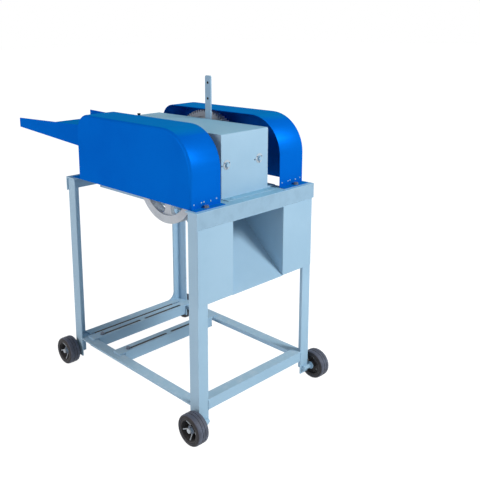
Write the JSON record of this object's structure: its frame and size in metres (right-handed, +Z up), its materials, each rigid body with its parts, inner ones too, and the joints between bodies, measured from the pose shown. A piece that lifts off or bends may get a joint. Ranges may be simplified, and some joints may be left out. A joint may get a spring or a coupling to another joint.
{
  "type": "chaff cutter",
  "caption": "Fodder chaff cutter on a wheeled angle-iron stand: flared feed tray, toothed feed rollers, bladed drum, spoked flywheel pulley, gear train under blue guards, front chute.",
  "frame": {"origin": "on the floor, below the middle of the machine's bounding box", "axes": "+Z up, +Y towards the feed tray's outer end, +X to the right of someone who stands at the discharge chute"},
  "size_m": [0.636, 1.242, 1.075],
  "materials": {
    "grey_enamel": "pale blue-grey enamel, satin",
    "blue_enamel": "bright blue enamel, semi-gloss",
    "zinc_steel": "zinc plated",
    "cast_iron": "grey painted casting",
    "dark_gear_iron": "oiled iron",
    "bare_steel": "bare ground steel",
    "black_steel": "black mill scale",
    "black_plastic": "moulded",
    "bronze": "turned bronze",
    "tyre_rubber": "solid black rubber",
    "hub_plastic": "dark grey moulded"
  },
  "bodies": {
    "stand": {"leg_front_left": "grey_enamel", "leg_front_right": "grey_enamel", "leg_back_left": "grey_enamel", "leg_back_right": "grey_enamel", "top_rail_front": "grey_enamel", "top_rail_back": "grey_enamel", "bearer_left": "grey_enamel", "bearer_right": "grey_enamel", "shelf_rail_front": "grey_enamel", "shelf_rail_back": "grey_enamel", "shelf_rail_left": "grey_enamel", "shelf_rail_right": "grey_enamel", "motor_rail_front": "grey_enamel", "motor_rail_rear": "grey_enamel", "front_panel": "grey_enamel", "discharge_chute": "grey_enamel", "box_side_left": "grey_enamel", "box_side_right": "grey_enamel", "box_cover": "grey_enamel", "throat_floor": "grey_enamel", "cover_bolts": "grey_enamel", "wheel_axles": "grey_enamel", "feed_tray": "blue_enamel", "guard_left": "blue_enamel", "guard_right": "blue_enamel", "motor_rail_bolts": "zinc_steel", "box_bolts": "zinc_steel", "tray_bolts": "zinc_steel", "guard_bolts": "zinc_steel", "bearing_bolts": "zinc_steel", "axle_washers": "zinc_steel", "cover_knob": "black_plastic", "shear_seat": "black_steel", "shear_bar": "bare_steel", "shear_bolts": "black_steel", "main_bearing_left": "cast_iron", "main_bearing_right": "cast_iron", "roller_bushes": "bronze", "lever_pivot": "bare_steel"},
    "drum": {"main_shaft": "bare_steel", "flywheel": "cast_iron", "drum_discs": "cast_iron", "blades": "bare_steel", "blade_bolts": "black_steel", "drive_pinion": "dark_gear_iron"},
    "lower_feed": {"lower_roller": "dark_gear_iron", "feed_gear": "cast_iron", "lower_roller_gear": "dark_gear_iron"},
    "upper_feed": {"upper_roller": "dark_gear_iron", "upper_roller_gear": "dark_gear_iron"},
    "lever": {"shift_lever": "grey_enamel"},
    "wheel_front_left": {"tyre_front_left": "tyre_rubber", "hub_front_left": "hub_plastic"},
    "wheel_front_right": {"tyre_front_right": "tyre_rubber", "hub_front_right": "hub_plastic"},
    "wheel_back_left": {"tyre_back_left": "tyre_rubber", "hub_back_left": "hub_plastic"},
    "wheel_back_right": {"tyre_back_right": "tyre_rubber", "hub_back_right": "hub_plastic"}
  },
  "joints": [
    {"name": "drum_spin", "type": "hinge", "parent": "stand", "child": "drum", "pos_m": [0, -0.371, 0.772], "axis": [1, 0, 0], "continuous": true},
    {"name": "lower_feed_spin", "type": "hinge", "parent": "stand", "child": "lower_feed", "pos_m": [0, -0.14704, 0.776], "axis": [1, 0, 0], "continuous": true},
    {"name": "upper_feed_spin", "type": "hinge", "parent": "stand", "child": "upper_feed", "pos_m": [0, -0.14704, 0.842], "axis": [1, 0, 0], "continuous": true},
    {"name": "lever_shift", "type": "hinge", "parent": "stand", "child": "lever", "pos_m": [0.118, -0.215, 0.805], "axis": [1, 0, 0], "range_deg": [-10, 10]},
    {"name": "front_left_wheel_spin", "type": "hinge", "parent": "stand", "child": "wheel_front_left", "pos_m": [-0.296, -0.571, 0.05], "axis": [1, 0, 0], "continuous": true},
    {"name": "front_right_wheel_spin", "type": "hinge", "parent": "stand", "child": "wheel_front_right", "pos_m": [0.296, -0.571, 0.05], "axis": [1, 0, 0], "continuous": true},
    {"name": "back_left_wheel_spin", "type": "hinge", "parent": "stand", "child": "wheel_back_left", "pos_m": [-0.296, 0.128, 0.05], "axis": [1, 0, 0], "continuous": true},
    {"name": "back_right_wheel_spin", "type": "hinge", "parent": "stand", "child": "wheel_back_right", "pos_m": [0.296, 0.128, 0.05], "axis": [1, 0, 0], "continuous": true}
  ],
  "couplings": [
    {"joint": "lower_feed_spin", "follows": "drum_spin", "ratio": -0.36585},
    {"joint": "upper_feed_spin", "follows": "drum_spin", "ratio": 0.36585}
  ]
}
